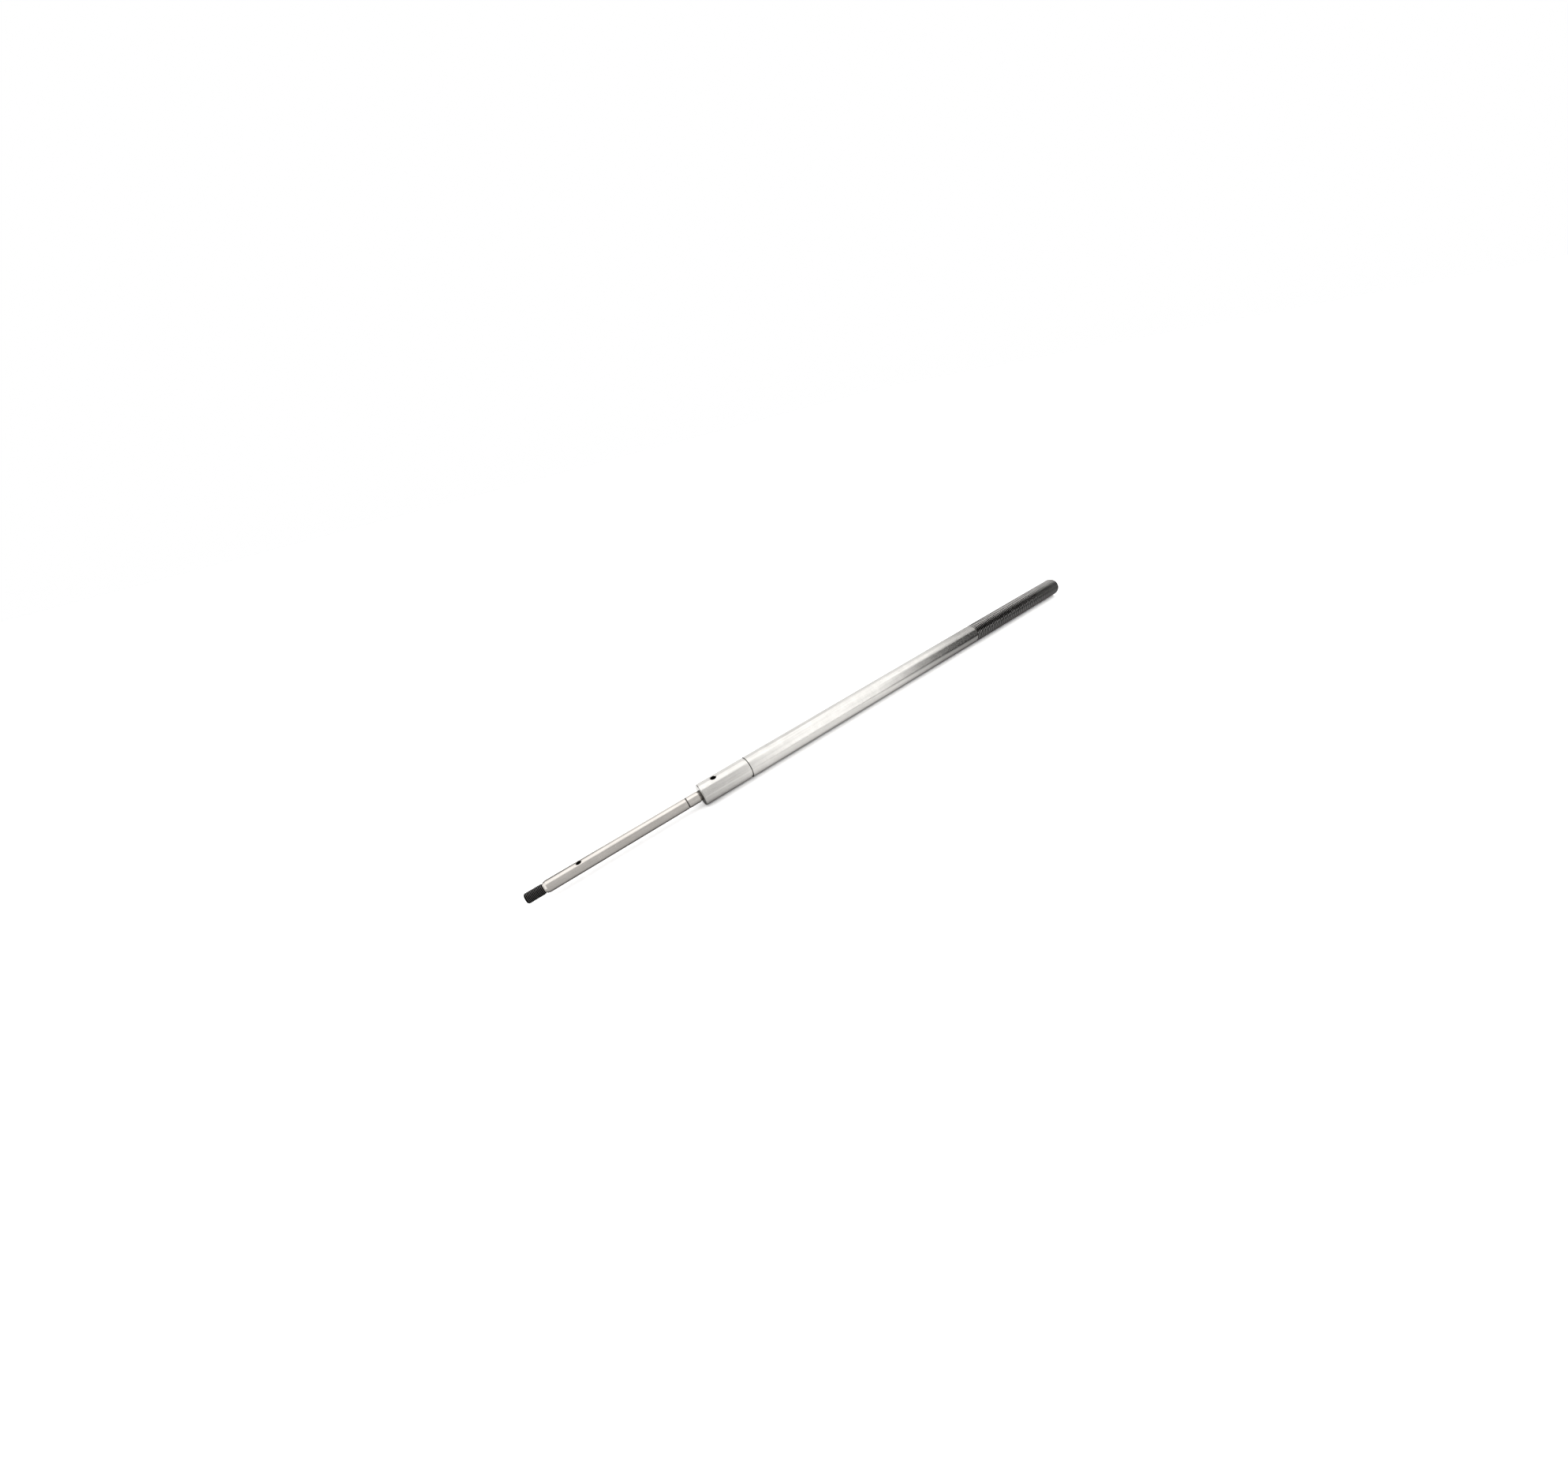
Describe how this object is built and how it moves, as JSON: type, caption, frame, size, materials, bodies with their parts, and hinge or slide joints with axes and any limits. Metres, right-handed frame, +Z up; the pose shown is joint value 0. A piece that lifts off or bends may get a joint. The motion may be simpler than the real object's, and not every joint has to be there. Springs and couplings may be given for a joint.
{
  "type": "lead screw",
  "caption": "Turned steel shaft lying on its side: threaded stub, slim seat with a pin hole and clip groove, shoulder, long plain shaft, large end thread.",
  "frame": {"origin": "on the surface the shaft lies on, under the middle of its length", "axes": "+X along the shaft from the threaded stub to the large end thread, +Z up and along both cross holes"},
  "size_m": [0.6504, 0.02, 0.02],
  "materials": {
    "turned_steel": "fine-turned and ground bare steel with faint lathe rings, darker in the threads, near black on the stub thread"
  },
  "bodies": {
    "root": {"lead_screw": "turned_steel"}
  },
  "joints": []
}
